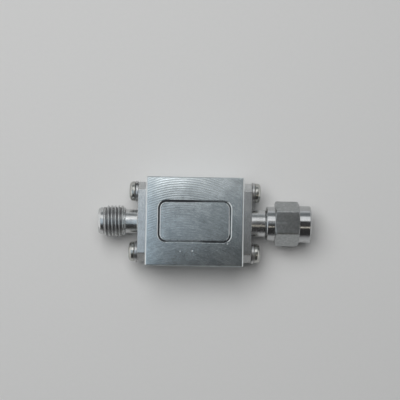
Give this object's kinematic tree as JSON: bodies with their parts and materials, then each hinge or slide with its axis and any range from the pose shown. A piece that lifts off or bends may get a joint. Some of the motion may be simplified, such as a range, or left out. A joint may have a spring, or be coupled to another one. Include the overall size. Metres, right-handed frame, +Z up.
{
  "type": "rf low-pass filter",
  "caption": "Coaxial in-line low-pass filter: milled square housing with a threaded jack at one end and a plug with a turning hexagonal coupling nut at the other.",
  "frame": {"origin": "centre of the flat bottom face of the cover, which the part rests on", "axes": "+X along the connectors' common axis towards the plug, +Z up through the face with the cut line"},
  "size_m": [0.0428, 0.0176, 0.0102],
  "materials": {
    "milled_case": "plated, with fine milling arcs",
    "connector_steel": "passivated, turned",
    "nut_steel": "passivated, smooth",
    "fastener_steel": "plain",
    "spring_steel": "plain",
    "insulator": "matte white",
    "contact_gold": "gold plated",
    "gasket_rubber": "matte",
    "board_laminate": "woven laminate",
    "coil_copper": "enamelled wire",
    "chip_ceramic": "matte with tinned ends"
  },
  "bodies": {
    "root": {"housing": "milled_case", "cover": "milled_case", "cover_screw_1": "fastener_steel", "cover_screw_2": "fastener_steel", "cover_screw_3": "fastener_steel", "cover_screw_4": "fastener_steel", "jack_body": "connector_steel", "jack_dielectric": "insulator", "jack_contact": "contact_gold", "plug_body": "connector_steel", "plug_dielectric": "insulator", "plug_pin": "contact_gold", "snap_ring": "spring_steel", "gasket": "gasket_rubber", "flange_screw_1": "fastener_steel", "flange_screw_2": "fastener_steel", "flange_screw_3": "fastener_steel", "flange_screw_4": "fastener_steel", "lock_washer_1": "spring_steel", "lock_washer_2": "spring_steel", "lock_washer_3": "spring_steel", "lock_washer_4": "spring_steel", "circuit_board": "board_laminate", "coil_1": "coil_copper", "coil_2": "coil_copper", "coil_3": "coil_copper", "capacitor_1": "chip_ceramic", "capacitor_2": "chip_ceramic", "capacitor_3": "chip_ceramic", "capacitor_4": "chip_ceramic"},
    "nut": {"coupling_nut": "nut_steel"}
  },
  "joints": [
    {"name": "nut_spin", "type": "hinge", "parent": "root", "child": "nut", "pos_m": [0.01888, 0, 0.0051], "axis": [1, 0, 0], "continuous": true}
  ]
}
